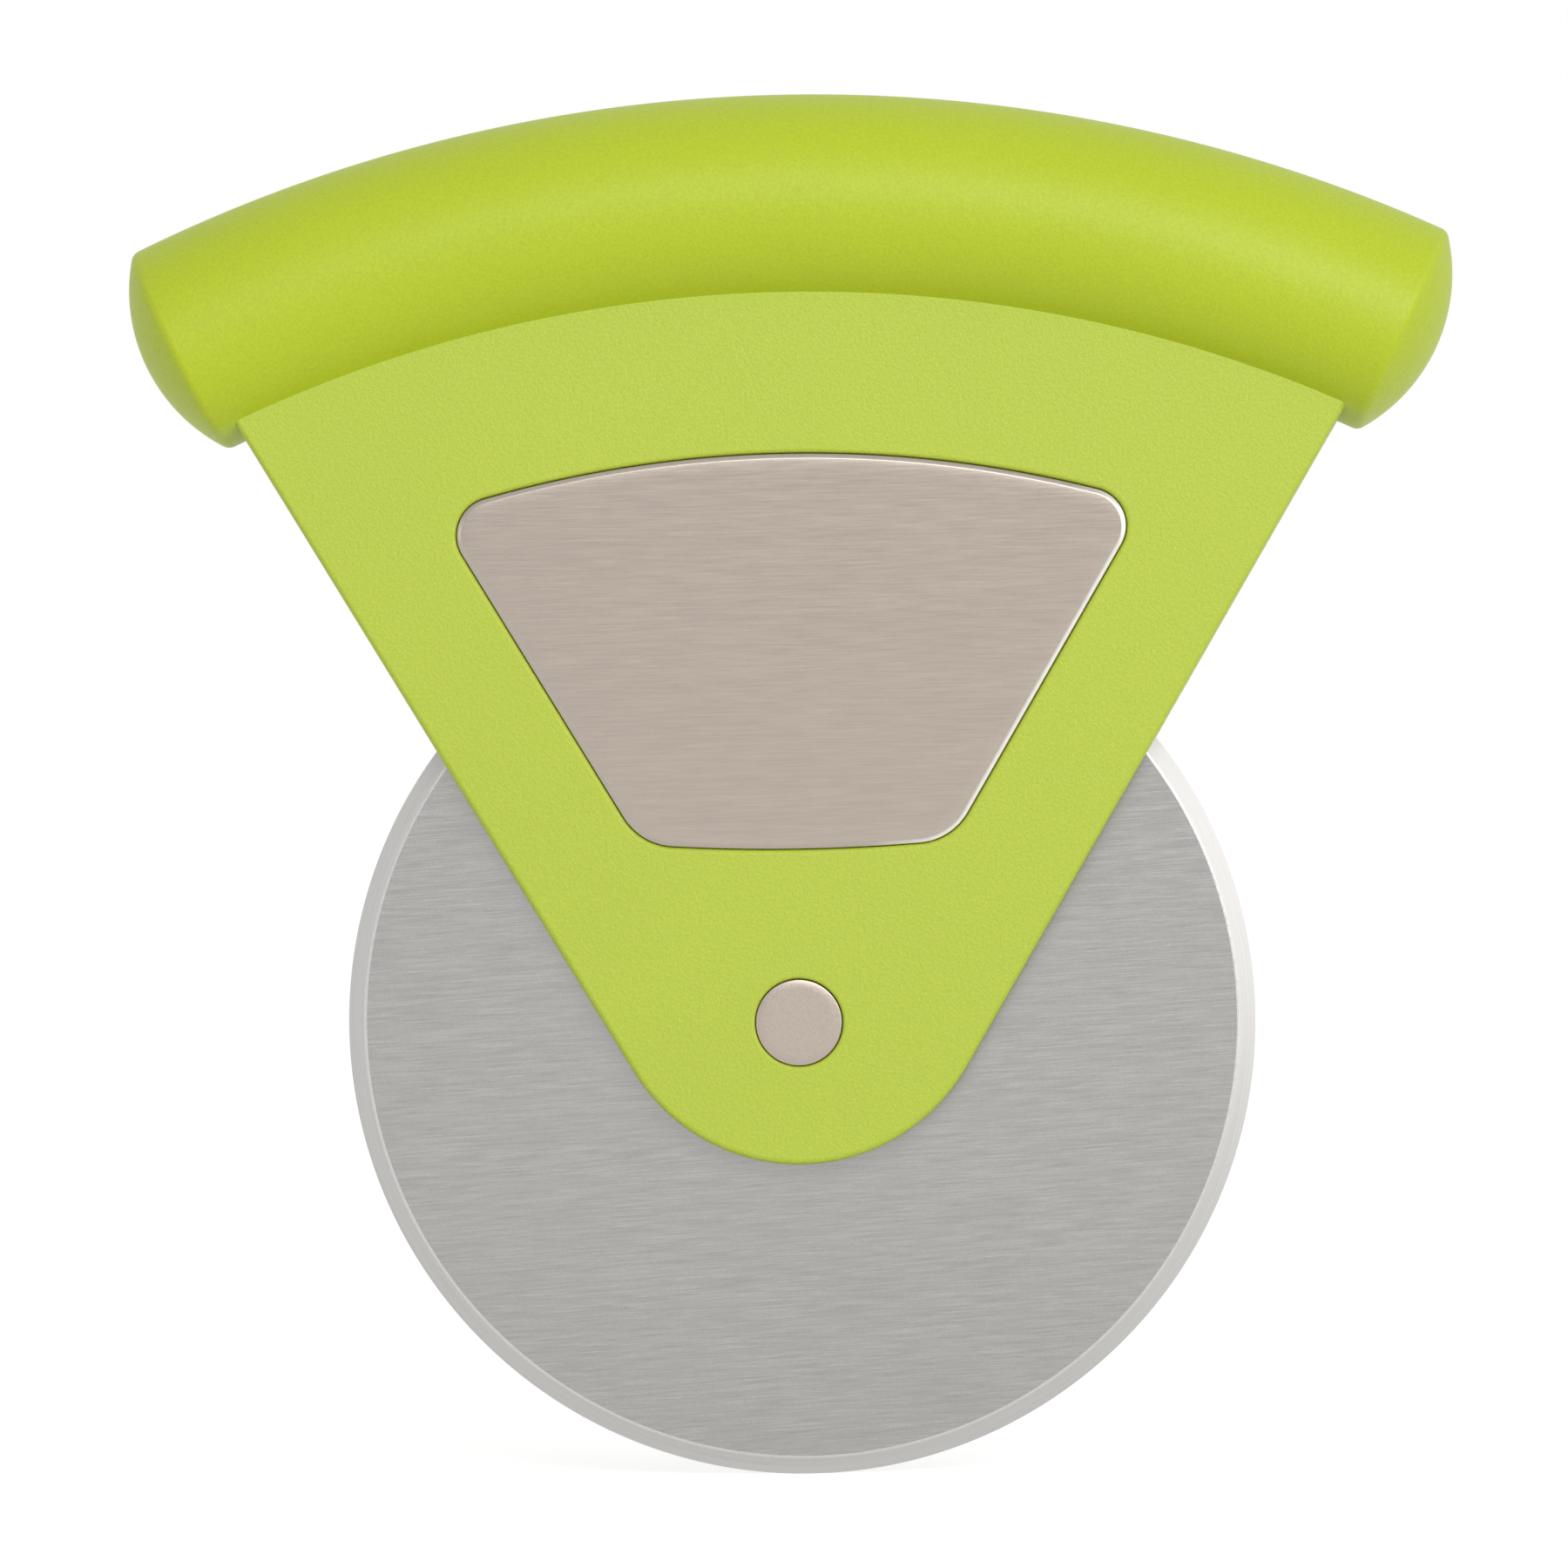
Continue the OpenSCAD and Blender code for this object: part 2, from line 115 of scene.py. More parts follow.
class CutterHandleSizes(bpy.types.PropertyGroup):
    """Sizes of the moulded handle"""

    side_angle: angle("Side Angle", "Angle of each side of the slice from the upright", 30.7)
    nose_r: length("Nose Radius", "Radius of the slice's rounded nose", 15.9 * MM)
    nose_rise: length("Nose Rise", "Height of the nose's centre above the axle", 4.2 * MM)
    slice_t: length("Slice Thickness", "Thickness of the slice over both halves", 10.2 * MM)
    slice_round: length("Slice Rounding", "Rounding of the slice's outer edges", 0.5 * MM)
    arc_drop: length("Arc Drop", "Depth of the grip's arc centre below the axle", 50.5 * MM)
    grip_path_r: length("Grip Arc Radius", "Radius of the arc along the grip's middle", 118 * MM)
    grip_d: length("Grip Diameter", "Diameter of the grip", 18 * MM)
    grip_overhang: length("Grip Overhang", "Tube beyond each upper corner of the slice", 1.3 * MM)
    dome_r: length("Dome Radius", "Radius of the grip's domed ends", 14.5 * MM)
    dome_round: length("Dome Rounding", "Rounding between the tube and its dome", 1.0 * MM)
    pocket_gap: length("Pocket Gap", "Gap between the cutting edge and the pocket's wall", 1.5 * MM)
    cheek_gap: length("Cheek Gap", "Gap between the wheel and each cheek", 0.3 * MM)
    seat_gap: length("Seat Gap", "Gap between the handle and what sits on the axle", 0.05 * MM)
    seam_round: length("Seam Rounding", "Rounding of the edges along the parting seam", 0.14 * MM)


class CutterPlateSizes(bpy.types.PropertyGroup):
    """Sizes of the inset plates"""

    margin: length("Margin", "Width of plastic between the slice's side and the plate", 10.3 * MM)
    top_drop: length("Top Drop", "From the grip's middle arc down to the plate's top", 20.7 * MM)
    bottom_rise: length("Bottom Rise", "Height of the plate's lower edge over the axle", 14.3 * MM)
    bottom_r: length("Bottom Radius", "Radius of the plate's bowed lower edge", 150 * MM)
    top_corner_r: length("Top Corners", "Radius of the plate's upper corners", 3.1 * MM)
    low_corner_r: length("Lower Corners", "Radius of the plate's lower corners", 5.0 * MM)
    sheet_t: length("Sheet Thickness", "Thickness of the plate's sheet", 0.5 * MM)
    edge_w: length("Edge Width", "Width of the rim's tight outer edge", 0.04 * MM)
    slope_w: length("Slope Width", "Width of the rim's coined slope", 0.30 * MM)
    turn_w: length("Turn Width", "Width of the turn between the slope and the flat", 0.08 * MM)
    shoulder_w: length("Shoulder Width", "Width of the flat's soft shoulder", 1.0 * MM)
    gap: length("Gap", "Gap round the plate", 0.06 * MM)
    lip_r: length("Lip Radius", "Rounding of the plastic round the plate", 0.4 * MM)


class CutterWheelSizes(bpy.types.PropertyGroup):
    """Sizes of the wheel and its rivet"""

    bevel_w: length("Bevel Width", "Width of the ground bevel on each face", 1.4 * MM)
    ridge_w: length("Ridge Width", "Width of the ridge between face and bevel", 0.22 * MM)
    edge_t: length("Edge Thickness", "Thickness left at the cutting edge", 0.15 * MM)
    bore_r: length("Bore Radius", "Radius of the bore that the bush is pressed into", 4.56 * MM)
    head_t: length("Head Thickness", "Thickness of the rivet's heads", 1.2 * MM)
    head_round: length("Head Rounding", "Rounding of the rivet heads' outer edge", 0.1 * MM)
    crown_w: length("Crown Width", "Width of the sloping rim of the rivet's heads", 0.4 * MM)
    crown_h: length("Crown Height", "Height of the sloping rim of the rivet's heads", 0.05 * MM)
    head_gap: length("Head Gap", "Gap round the rivet's heads", 0.06 * MM)
    lip_r: length("Lip Radius", "Rounding of the plastic round the rivet's heads", 0.3 * MM)
    core_r: length("Core Radius", "Radius of the rivet's solid core", 1.3 * MM)
    core_gap: length("Core Gap", "Gap between the rivet's core and its tube", 0.01 * MM)
    tube_r: length("Tube Radius", "Radius of the rivet's tubular shank", 2.0 * MM)


class CutterFinish(bpy.types.PropertyGroup):
    """Colours of the finishes, and of the plates' painted rim highlight"""

    grip_plastic: colour("Grip Plastic", "Colour of the smoother grip", (0.45, 0.555, 0.004))
    # Paler and less saturated than the grip, partly from the coarser grain and partly as painted
    # sheen: the front light's gloss on the flat slice
    slice_plastic_and_painted_sheen: colour("Slice Plastic", "Colour of the grained slice", (0.46, 0.565, 0.038))
    plate: colour("Plate Steel", "Warm tint of the brushed plates", (0.38, 0.33, 0.285))
    rim: colour("Plate Rim", "Tint of the plates' coined rim", (0.40, 0.35, 0.305))
    # Painted highlight: a bright tint on the rims' outer slope along the slice's right side,
    # standing in for the key light's reflection
    painted_rim_highlight: colour("Painted Rim Highlight", "Tint where the rim is rubbed bright", (0.72, 0.69, 0.66))
    wheel: colour("Wheel Steel", "Cool tint of the brushed wheel", (0.345, 0.335, 0.325))
    bevel: colour("Ground Bevel", "Tint of the ground bevel", (0.45, 0.44, 0.43))
    ridge: colour("Bevel Ridge", "Tint of the ridge between face and bevel", (0.52, 0.51, 0.50))
    rivet: colour("Rivet Steel", "Tint of the satin rivet", (0.40, 0.345, 0.30))
    turned_steel: colour("Turned Steel", "Tint of the sleeve and the screws", (0.45, 0.45, 0.46))
    turned_brass: colour("Turned Brass", "Tint of the wheel's bush", (0.60, 0.42, 0.12))
    nylon: colour("Nylon", "Colour of the thrust washers", (0.85, 0.84, 0.78))
    foam: colour("Foam", "Colour of the pads under the plates", (0.80, 0.80, 0.78))


class CutterStage(bpy.types.PropertyGroup):
    """Camera, floor and light"""

    camera_distance: length("Camera Distance", "From the camera to the parting plane", 1.0)
    camera_x: length("Camera Offset", "How far the camera stands to the right", 43.96 * MM, -1.0)
    camera_z: length("Camera Height", "Height of the camera over the floor", 71.82 * MM)
    yaw: angle("Yaw", "Turn of the camera about the upright", -2.582)
    pitch: angle("Pitch", "Tilt of the camera", 0.844)
    roll: angle("Roll", "Roll of the camera about its axis", -0.937)
    focal_length: bpy.props.FloatProperty(
        name="Focal Length", description="Focal length on a 36 mm sensor", default=278.073,
        unit="CAMERA")
    floor_size: length("Floor Size", "Width of the floor", 6.0)
    floor_colour: colour("Floor Colour", "Colour of the pale floor", (0.75, 0.75, 0.75))
    floor_glow: bpy.props.FloatProperty(
        name="Floor Glow", description="White that the floor adds for camera and reflections",
        default=0.6, min=0.0)
    world_light: bpy.props.FloatProperty(
        name="World Light", description="Strength of the white world as light", default=0.58,
        min=0.0)


GROUPS = {
    "handle": CutterHandleSizes,
    "plate": CutterPlateSizes,
    "wheel": CutterWheelSizes,
    "finish": CutterFinish,
    "stage": CutterStage,
}


class CutterSettings(bpy.types.PropertyGroup):
    """All settings of the pizza cutter"""

    handle: bpy.props.PointerProperty(type=CutterHandleSizes)
    plate: bpy.props.PointerProperty(type=CutterPlateSizes)
    wheel: bpy.props.PointerProperty(type=CutterWheelSizes)
    finish: bpy.props.PointerProperty(type=CutterFinish)
    stage: bpy.props.PointerProperty(type=CutterStage)


# Modelling helpers


def clear_selection():
    """Leaves edit mode and deselects every object."""
    if bpy.context.object and bpy.context.object.mode != "OBJECT":
        bpy.ops.object.mode_set(mode="OBJECT")
    bpy.ops.object.select_all(action="DESELECT")


def pick(piece):
    """Makes a piece the only selected and active object."""
    clear_selection()
    piece.select_set(True)
    bpy.context.view_layer.objects.active = piece


def settle(piece):
    """Puts the piece's place into its mesh and its origin at the frame's."""
    pick(piece)
    bpy.ops.object.transform_apply(location=True, rotation=True, scale=True)


def select_where(piece, kind, test):
    """In edit mode, selects the faces, edges or vertices that pass a test."""
    bpy.ops.mesh.select_mode(type=kind)
    bpy.ops.mesh.select_all(action="DESELECT")
    bpy.ops.object.mode_set(mode="OBJECT")
    mesh = piece.data
    elements = {"VERT": mesh.vertices, "EDGE": mesh.edges, "FACE": mesh.polygons}[kind]
    found = 0
    for element in elements:
        if test(element):
            element.select = True
            found += 1
    bpy.ops.object.mode_set(mode="EDIT")
    if not found:
        raise RuntimeError(f"nothing to select on {piece.name}")


def edge_test(piece, test):
    """A test on an edge that asks the same of both of its vertices."""
    vertices = piece.data.vertices
    return lambda edge: all(test(vertices[i].co) for i in edge.vertices)


def near(a, b):
    """Whether two lengths are the same to a micrometre."""
    return abs(a - b) < 1e-6


def from_axle(co):
    """Distance of a point from the axle."""
    return math.hypot(co.x, co.z - AXLE_Z)


class OutlinePen:
    """Draws an outline in an upright plane by extruding and spinning one vertex.

    Points are (x, height above the axle). Every arc is swung clockwise, seen from the front."""

    def __init__(self, name, point, y):
        clear_selection()
        self.y = y
        bpy.ops.mesh.primitive_plane_add(size=MM, location=self.place(point))
        self.piece = bpy.context.object
        self.piece.name = self.piece.data.name = name
        settle(self.piece)
        bpy.ops.object.mode_set(mode="EDIT")
        bpy.ops.mesh.select_mode(type="VERT")
        bpy.ops.mesh.select_all(action="SELECT")
        bpy.ops.mesh.merge(type="CENTER")
        self.point = Vector(point)

    def place(self, point):
        return Vector((point[0], self.y, AXLE_Z + point[1]))

    def line_to(self, point):
        step = Vector(point) - self.point
        bpy.ops.mesh.extrude_region_move(TRANSFORM_OT_translate={"value": (step.x, 0, step.y)})
        self.point = Vector(point)

    def swing(self, centre, sweep, steps):
        bpy.ops.mesh.spin(steps=steps, angle=sweep, center=self.place(centre), axis=(0, -1, 0))
        arm = self.point - Vector(centre)
        arm.rotate(Matrix.Rotation(-sweep, 2))
        self.point = Vector(centre) + arm

    def close(self):
        """Joins the ends, fills the outline and returns the flat piece."""
        bpy.ops.mesh.select_all(action="SELECT")
        bpy.ops.mesh.remove_doubles(threshold=MERGE_GAP)
        bpy.ops.mesh.edge_face_add()
        return self.piece


def thicken(piece, depth):
    """Extrudes a flat filled outline along Y into a closed slab. Stays in edit mode."""
    bpy.ops.mesh.select_all(action="SELECT")
    bpy.ops.mesh.extrude_region_move(TRANSFORM_OT_translate={"value": (0, depth, 0)})
    bpy.ops.mesh.select_all(action="SELECT")
    bpy.ops.mesh.normals_make_consistent(inside=False)


def add_disc(name, radius, y_from, y_to, vertices=96):
    """A cylinder about the axle between two depths."""
    clear_selection()
    bpy.ops.mesh.primitive_cylinder_add(
        vertices=vertices, radius=radius, depth=abs(y_to - y_from), end_fill_type="NGON",
        location=(0, (y_from + y_to) / 2, AXLE_Z), rotation=(math.radians(90), 0, 0))
    disc = bpy.context.object
    disc.name = disc.data.name = name
    settle(disc)
    return disc


def combine(piece, other, operation):
    """Applies a boolean with another piece, which is used up."""
    pick(piece)
    modifier = piece.modifiers.new(operation.title(), "BOOLEAN")
    modifier.operation = operation
    modifier.solver = "EXACT"
    modifier.object = other
    bpy.ops.object.modifier_apply(modifier=modifier.name)
    mesh = other.data
    bpy.data.objects.remove(other)
    bpy.data.meshes.remove(mesh)


def copy_piece(piece, name):
    """A copy with its own mesh."""
    pick(piece)
    bpy.ops.object.duplicate(linked=False)
    copy = bpy.context.object
    copy.name = copy.data.name = name
    return copy


def mirror_copy(piece, name):
    """A copy on the other side of the parting plane."""
    copy = copy_piece(piece, name)
    copy.scale.y = -1
    settle(copy)
    bpy.ops.object.mode_set(mode="EDIT")
    bpy.ops.mesh.select_all(action="SELECT")
    bpy.ops.mesh.normals_make_consistent(inside=False)
    bpy.ops.object.mode_set(mode="OBJECT")
    return copy


def shade(piece, degrees=35):
    """Smooth shading up to an angle, with flat faces kept flat."""
    pick(piece)
    bpy.ops.object.shade_smooth_by_angle(angle=math.radians(degrees))
    modifier = piece.modifiers.new("Flat faces", "WEIGHTED_NORMAL")
    modifier.keep_sharp = True
    bpy.ops.object.modifier_apply(modifier=modifier.name)


def hand_over(piece, material, body, slot, *nodes):
    """Gives a finished piece its material and body, and hides the nodes that it stands for. The
    slot is not used.
    """
    clear_selection()
    piece.data.materials.clear()
    piece.data.materials.append(material)
    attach(piece, body)
    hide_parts(*nodes)


def second_finish(piece, material, test):
    """Gives a second material to the faces that pass a test."""
    piece.data.materials.append(material)
    for face in piece.data.polygons:
        if test(face):
            face.material_index = 1


# Shapes of the handle


def side_out(s):
    """Unit vector square to the slice's right side, outward."""
    return Vector((math.cos(s.side_angle), -math.sin(s.side_angle)))


def flipped(point):
    """The same point on the left."""
    return Vector((-point[0], point[1]))


def arc_angle(s, inset, radius):
    """Angle about the grip's arc centre at which a line inset from the side meets a radius."""
    across = s.nose_r - inset - (s.arc_drop + s.nose_rise) * math.sin(s.side_angle)
    return s.side_angle + math.asin(across / radius)


def arc_point(s, turn, radius):
    """A point at an angle and radius about the grip's arc centre."""
    return Vector((radius * math.sin(turn), radius * math.cos(turn) - s.arc_drop))


def crease_radius(s):
    """Radius of the crease where the grip meets the slice's face."""
    return s.grip_path_r - math.sqrt((s.grip_d / 2) ** 2 - (s.slice_t / 2) ** 2)


def grip_half_angle(s):
    """Half of the angle that the grip's tube spans."""
    return arc_angle(s, 0, crease_radius(s)) + s.grip_overhang / s.grip_path_r


def model_slice(s):
    """The slice: a fan with a rounded nose, its top inside the grip, its outer edges rounded."""
    nose = Vector((0, s.nose_rise))
    top_turn = arc_angle(s, 0, s.grip_path_r)
    pen = OutlinePen("slice", nose + side_out(s) * s.nose_r, -s.slice_t / 2)
    pen.swing(nose, math.pi - 2 * s.side_angle, 64)
    pen.line_to(arc_point(s, -top_turn, s.grip_path_r))
    pen.swing((0, -s.arc_drop), 2 * top_turn, 48)
    piece = pen.close()
    thicken(piece, s.slice_t)
    select_where(piece, "EDGE", edge_test(piece, lambda co: near(co.y, -s.slice_t / 2)))
    bpy.ops.mesh.bevel(offset=s.slice_round, segments=6, profile=0.5, affect="EDGES")
    select_where(piece, "EDGE", edge_test(piece, lambda co: near(co.y, s.slice_t / 2)))
    bpy.ops.mesh.bevel(offset=s.slice_round, segments=6, profile=0.5, affect="EDGES")
    bpy.ops.object.mode_set(mode="OBJECT")
    return piece


def dome_rings(s):
    """(radius, distance past the tube's end) of each ring, over the rounding and up the dome."""
    path_r = s.grip_d / 2 - s.dome_round
    reach = math.asin(path_r / (s.dome_r - s.dome_round))
    centre = -(s.dome_r - s.dome_round) * math.cos(reach)
    rings = []
    round_steps = 6
    for i in range(1, round_steps + 1):
        turn = (math.pi / 2 - reach) * i / round_steps
        rings.append((path_r + s.dome_round * math.cos(turn), s.dome_round * math.sin(turn)))
    dome_steps = 14
    for i in range(1, dome_steps):
        turn = reach * (1 - i / dome_steps)
        rings.append((s.dome_r * math.sin(turn), centre + s.dome_r * math.cos(turn)))
    rings.append((0, centre + s.dome_r))
    return rings


def model_grip(s):
    """The grip: a circle swept along the arc, with a domed end grown ring by ring on each side."""
    half = grip_half_angle(s)
    arc_centre = Vector((0, 0, AXLE_Z - s.arc_drop))

    def on_arc(turn):
        return arc_centre + s.grip_path_r * Vector((math.sin(turn), 0, math.cos(turn)))

    clear_selection()
    bpy.ops.mesh.primitive_circle_add(
        vertices=96, radius=s.grip_d / 2, fill_type="NOTHING", location=on_arc(-half),
        rotation=(0, math.pi / 2 - half, 0))
    piece = bpy.context.object
    piece.name = piece.data.name = "grip"
    settle(piece)
    bpy.ops.object.mode_set(mode="EDIT")
    bpy.ops.mesh.select_all(action="SELECT")
    bpy.ops.mesh.spin(steps=120, angle=2 * half, center=arc_centre, axis=(0, -1, 0))
    for turn, side in ((-half, -1), (half, 1)):
        outward = Vector((math.cos(turn), 0, -math.sin(turn))) * side
        end = on_arc(turn)
        select_where(piece, "VERT", lambda v: near((v.co - end).dot(outward), 0)
                     and (v.co - end).length < s.grip_d)
        ring_r, ring_past = s.grip_d / 2, 0.0
        for radius, past in dome_rings(s):
            bpy.ops.mesh.extrude_region_move(
                TRANSFORM_OT_translate={"value": outward * (past - ring_past)})
            if radius:
                share = radius / ring_r
                bpy.ops.transform.resize(
                    value=(share, share, share), center_override=end + outward * past)
            else:
                bpy.ops.mesh.merge(type="CENTER")
            ring_r, ring_past = radius, past
    bpy.ops.mesh.select_all(action="SELECT")
    bpy.ops.mesh.remove_doubles(threshold=MERGE_GAP)
    bpy.ops.mesh.normals_make_consistent(inside=False)
    bpy.ops.object.mode_set(mode="OBJECT")
    return piece


def plate_outline(name, s, p, grow, y):
    """The plate's filled outline, grown outward by an even amount."""
    arc_centre = Vector((0, -s.arc_drop))
    top_r = s.grip_path_r - p.top_drop
    bow_centre = Vector((0, p.bottom_rise + p.bottom_r))
    upper_path_r = top_r - p.top_corner_r
    lower_path_r = p.bottom_r - p.low_corner_r
    upper = arc_angle(s, p.margin + p.top_corner_r, upper_path_r)
    across = s.nose_r - p.margin - p.low_corner_r
    rise = (bow_centre.y - s.nose_rise) * math.sin(s.side_angle)
    lower = math.asin((across + rise) / lower_path_r) - s.side_angle
    upper_corner = arc_point(s, upper, upper_path_r)
    lower_corner = bow_centre + lower_path_r * Vector((math.sin(lower), -math.cos(lower)))
    top_r_grown = p.top_corner_r + grow
    low_r_grown = p.low_corner_r + grow
    top_sweep = math.pi / 2 - upper + s.side_angle
    low_sweep = math.pi / 2 - lower - s.side_angle

    pen = OutlinePen(name, arc_point(s, -upper, top_r + grow), y)
    pen.swing(arc_centre, 2 * upper, 48)
    pen.swing(upper_corner, top_sweep, 16)
    pen.line_to(lower_corner + side_out(s) * low_r_grown)
    pen.swing(lower_corner, low_sweep, 12)
    pen.swing(bow_centre, 2 * lower, 16)
    pen.swing(flipped(lower_corner), low_sweep, 12)
    pen.line_to(flipped(upper_corner + side_out(s) * top_r_grown))
    pen.swing(flipped(upper_corner), top_sweep, 16)
    return pen.close()


def rim_rings(p):
    """(width, depth) of each ring over the pressed plate's rim, from its outer edge inward.

    The rim turns over a tight edge, runs in along a coined slope and fades into a wide shoulder."""
    rings = []
    steps = 4
    widths = (p.edge_w, p.slope_w, p.turn_w, p.shoulder_w)
    for zone_w, outer_tilt, inner_tilt in zip(widths, RIM_TILTS, RIM_TILTS[1:]):
        for i in range(steps):
            tilt = math.radians(outer_tilt + (inner_tilt - outer_tilt) * (i + 0.5) / steps)
            rings.append((zone_w / steps, zone_w / steps * math.tan(tilt)))
    return rings


def sink_with_lip(cutter, lip_r, face_y, floor_y):
    """Grows a cutter from the handle's face down to a floor, narrowing it for a rounded lip.

    Starts in edit mode and ends in object mode."""
    steps = 6
    select_where(cutter, "FACE", lambda face: near(face.center.y, face_y)
                 and abs(face.normal.y) > FACING)
    for i in range(steps):
        turn, next_turn = (math.pi / 2 * k / steps for k in (i, i + 1))
        bpy.ops.mesh.inset(thickness=lip_r * (math.sin(next_turn) - math.sin(turn)),
                           depth=lip_r * (math.cos(turn) - math.cos(next_turn)))
    wall = floor_y - face_y - math.copysign(lip_r, floor_y - face_y)
    bpy.ops.mesh.extrude_region_move(TRANSFORM_OT_translate={"value": (0, wall, 0)})
    bpy.ops.object.mode_set(mode="OBJECT")


def cut_plate_recess(handle, s, p, side):
    """Sinks the recess of one plate into the handle's face."""
    face_y = side * s.slice_t / 2
    cutter = plate_outline("plate_recess", s, p, p.gap + p.lip_r, face_y)
    thicken(cutter, face_y)
    sink_with_lip(cutter, p.lip_r, face_y, -side * PLATE_HIGH.y)
    combine(handle, cutter, "DIFFERENCE")


def cut_bores(handle, s, w):
    """Cuts the wheel's pocket and the seats along the axle."""
    half = s.slice_t / 2
    head_r = RIVET_HIGH.x + w.head_gap
    washer_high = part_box("rear_washer")[1]
    sleeve_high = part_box("axle_sleeve")[1]
    slot = WHEEL_HIGH.y + s.cheek_gap
    combine(handle, add_disc("pocket", WHEEL_R + s.pocket_gap, -slot, slot, vertices=256),
            "DIFFERENCE")
    seats = (
        (washer_high.x, washer_high.y),
        (sleeve_high.x, sleeve_high.y),
        (w.tube_r, 2 * half),
    )
    for radius, depth in seats:
        combine(handle, add_disc("bore", radius + s.seat_gap, -depth, depth), "DIFFERENCE")
    for side in (-1, 1):
        seat = add_disc("head_seat", head_r + w.lip_r, side * half, side * 2 * half)
        bpy.ops.object.mode_set(mode="EDIT")
        sink_with_lip(seat, w.lip_r, side * half, side * (half - w.head_t))
        combine(handle, seat, "DIFFERENCE")


def round_seam(half, s):
    """Rounds the outer edges along the parting plane, where the halves meet in a fine seam.

    The pocket's own edges stay sharp: both of their ends lie on the pocket's wall."""
    wall_r = WHEEL_R + s.pocket_gap + WALL_SLACK
    pick(half)
    bpy.ops.object.mode_set(mode="EDIT")
    on_seam = edge_test(half, lambda co: near(co.y, 0))
    on_wall = edge_test(half, lambda co: from_axle(co) <= wall_r)
    select_where(half, "EDGE", lambda edge: on_seam(edge) and not on_wall(edge))
    bpy.ops.mesh.bevel(offset=s.seam_round, segments=3, profile=0.5, affect="EDGES")
    bpy.ops.object.mode_set(mode="OBJECT")


def model_halves(s, p, w):
    """Both halves of the handle, cut from one solid so that they match along the seam."""
    handle = model_slice(s)
    combine(handle, model_grip(s), "UNION")
    cut_bores(handle, s, w)
    for side in (-1, 1):
        cut_plate_recess(handle, s, p, side)
    halves = {}
    reach = 4 * s.grip_path_r
    for name, side in (("handle_front_half", -1), ("handle_rear_half", 1)):
        half = copy_piece(handle, name)
        clear_selection()
        bpy.ops.mesh.primitive_cube_add(size=reach, location=(0, -side * reach / 2, AXLE_Z))
        block = bpy.context.object
        settle(block)
        combine(half, block, "DIFFERENCE")
        round_seam(half, s)
        halves[name] = half
    mesh = handle.data
    bpy.data.objects.remove(handle)
    bpy.data.meshes.remove(mesh)
    return halves


# Materials


class Nodes:
    """Builds one material's node tree."""

    def __init__(self, name):
        self.material = bpy.data.materials.new(name)
        self.material.use_nodes = True
        self.tree = self.material.node_tree
        self.shader = self.tree.nodes["Principled BSDF"]

    def add(self, kind, inputs=(), **settings):
        node = self.tree.nodes.new("ShaderNode" + kind)
        for key, value in settings.items():
            setattr(node, key, value)
        for key, value in dict(inputs).items():
            self.set(node, key, value)
        return node

    def set(self, node, key, value):
        """Sets an input to a value, or links it to another node's output."""
        socket = node.inputs[key]
        if isinstance(value, bpy.types.NodeSocket):
            self.tree.links.new(value, socket)
        else:
            socket.default_value = value

    def around(self, coordinates, height):
        """Position in the upright plane about an axis along Y at a height."""
        centred = self.add("Mapping", {"Vector": coordinates, "Location": (0, 0, -height)})
        flat = self.add(
            "VectorMath", {0: centred.outputs["Vector"], 1: (1, 0, 1)}, operation="MULTIPLY")
        return flat.outputs[0]

    def radius(self, coordinates, height):
        """Distance from an axis along Y at a height."""
        arm = self.around(coordinates, height)
        return self.add("VectorMath", {0: arm}, operation="LENGTH").outputs["Value"]

    def noise(self, vector, scale, detail=2.0, roughness=0.5):
        return self.add("TexNoise", {
            "Vector": vector, "Scale": scale, "Detail": detail, "Roughness": roughness,
        }).outputs["Fac"]

    def streaks(self, vector, scale, detail):
        """Noise stretched along X: scale is in marks per metre along each axis."""
        stretched = self.add("Mapping", {"Vector": vector, "Scale": scale}).outputs["Vector"]
        return self.noise(stretched, 1.0, detail, 0.6)

    def math(self, operation, a, b):
        return self.add("Math", {0: a, 1: b}, operation=operation).outputs[0]

    def span(self, value, low, high, to_low, to_high):
        """Maps a value from one range to another, clamped."""
        return self.add("MapRange", {
            "Value": value, "From Min": low, "From Max": high, "To Min": to_low, "To Max": to_high,
        }).outputs["Result"]

    def blend(self, factor, first, second):
        """Mixes two colours, each given as RGB values or as an output."""
        node = self.add("Mix", {0: factor}, data_type="RGBA")
        for key, value in ((6, first), (7, second)):
            self.set(node, key, value if isinstance(value, bpy.types.NodeSocket) else (*value, 1))
        return node.outputs[2]

    def scale(self, colour_output, share):
        """Makes a colour lighter or darker by a share."""
        node = self.add("VectorMath", {0: colour_output, "Scale": share}, operation="SCALE")
        return node.outputs[0]

    def vary(self, factor, rgb, variation):
        """A colour that goes a little darker and lighter with a factor."""
        dark = tuple(c * (1 - variation) for c in rgb)
        light = tuple(c * (1 + variation) for c in rgb)
        return self.blend(factor, dark, light)


